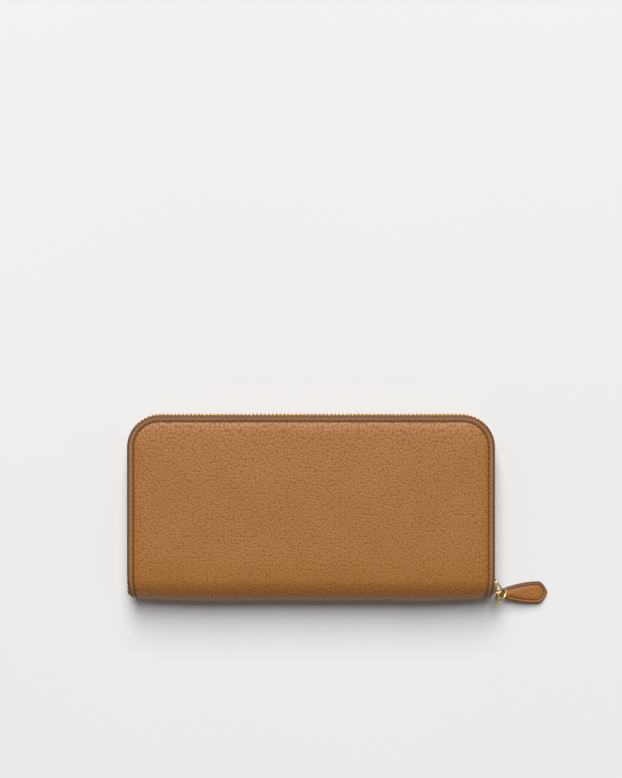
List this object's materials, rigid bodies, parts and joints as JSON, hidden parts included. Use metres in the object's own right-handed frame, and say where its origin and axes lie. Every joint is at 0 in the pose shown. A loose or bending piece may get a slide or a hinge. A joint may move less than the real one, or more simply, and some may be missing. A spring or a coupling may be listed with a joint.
{
  "type": "zip around wallet",
  "caption": "Long leather wallet closed by a metal zip along its covers' edges, with card slots, note compartments, a zipped coin pocket and a leather pull tab.",
  "frame": {"origin": "middle of the back cover's flat outer face, on which the closed wallet lies", "axes": "+X along the spine, towards the end with the slider; +Y from the spine to the long zipped edge; +Z through the thickness, from the back cover to the front cover"},
  "size_m": [0.2281, 0.104, 0.025],
  "materials": {
    "cover_leather": "pebbled",
    "inner_leather": "smooth",
    "gusset_leather": "smooth",
    "tab_leather": "fine grain",
    "zip_tape": "woven",
    "zip_metal": "satin",
    "gold_hardware": "polished",
    "board": "matte",
    "padding": "foam"
  },
  "bodies": {
    "back_half": {"back_cover_leather": "cover_leather", "back_padding": "padding", "back_board": "board", "back_lining": "inner_leather", "back_zip_tape": "zip_tape", "back_zip_teeth": "zip_metal", "back_card_slot_1": "inner_leather", "back_card_slot_2": "inner_leather", "back_card_slot_3": "inner_leather", "back_card_slot_4": "inner_leather", "left_gusset_back": "gusset_leather", "right_gusset_back": "gusset_leather", "left_front_teeth_end": "zip_metal", "left_front_tape_end": "zip_tape", "right_front_teeth_end": "zip_metal", "right_front_tape_end": "zip_tape", "top_stop_back": "zip_metal", "top_stop_front": "zip_metal", "bottom_stop": "zip_metal"},
    "spine": {"spine_leather": "cover_leather", "spine_lining": "inner_leather", "coin_pocket_back_wall": "inner_leather", "coin_pocket_front_wall": "inner_leather", "coin_zip_tape_back": "zip_tape", "coin_zip_tape_front": "zip_tape", "coin_zip_teeth_back": "zip_metal", "coin_zip_teeth_front": "zip_metal", "coin_zip_stop_left": "zip_metal", "coin_zip_stop_right": "zip_metal"},
    "front_half": {"front_cover_leather": "cover_leather", "front_padding": "padding", "front_board": "board", "front_lining": "inner_leather", "front_zip_tape": "zip_tape", "front_zip_teeth": "zip_metal", "front_card_slot_1": "inner_leather", "front_card_slot_2": "inner_leather", "front_card_slot_3": "inner_leather", "front_card_slot_4": "inner_leather", "left_gusset_front": "gusset_leather", "right_gusset_front": "gusset_leather"},
    "zip_slider": {"slider_body": "gold_hardware"},
    "puller_link": {"puller_link": "gold_hardware"},
    "split_ring": {"split_ring": "gold_hardware"},
    "pull_tab": {"pull_tab_leather": "tab_leather"},
    "coin_slider": {"coin_slider_body": "gold_hardware"},
    "coin_puller": {"coin_puller": "gold_hardware"}
  },
  "joints": [
    {"name": "spine_fold_back", "type": "hinge", "parent": "back_half", "child": "spine", "pos_m": [0, -0.04634, 0.00366], "axis": [1, 0, 0], "range_deg": [0, 45], "deforming": ["left_gusset_back", "right_gusset_back"]},
    {"name": "spine_fold_front", "type": "hinge", "parent": "spine", "child": "front_half", "pos_m": [0, -0.04634, 0.02134], "axis": [1, 0, 0], "range_deg": [0, 45], "deforming": ["left_gusset_front", "right_gusset_front"]},
    {"name": "slider_travel", "type": "slide", "parent": "back_half", "child": "zip_slider", "axis": [0, 1, 0], "range_m": [0, 0.07]},
    {"name": "link_swing", "type": "hinge", "parent": "zip_slider", "child": "puller_link", "pos_m": [0.10115, -0.04445, 0.0125], "axis": [0, 0, 1], "range_deg": [0, 75]},
    {"name": "ring_swing", "type": "hinge", "parent": "puller_link", "child": "split_ring", "pos_m": [0.10122, -0.04935, 0.01], "axis": [-0.0801, -0.9917, -0.1002], "range_deg": [0, 25]},
    {"name": "tab_swing", "type": "hinge", "parent": "split_ring", "child": "pull_tab", "pos_m": [0.10164, -0.04672, 0.00641], "axis": [-0.6, -0.8, 0], "range_deg": [0, 28]},
    {"name": "coin_slider_travel", "type": "slide", "parent": "spine", "child": "coin_slider", "axis": [-1, 0, 0], "range_m": [0, 0.148]},
    {"name": "coin_puller_flip", "type": "hinge", "parent": "coin_slider", "child": "coin_puller", "pos_m": [0.074, 0.03675, 0.0125], "axis": [0, 0, -1], "range_deg": [0, 170]}
  ],
  "couplings": [
    {"joint": "spine_fold_front", "follows": "spine_fold_back", "ratio": 1}
  ]
}
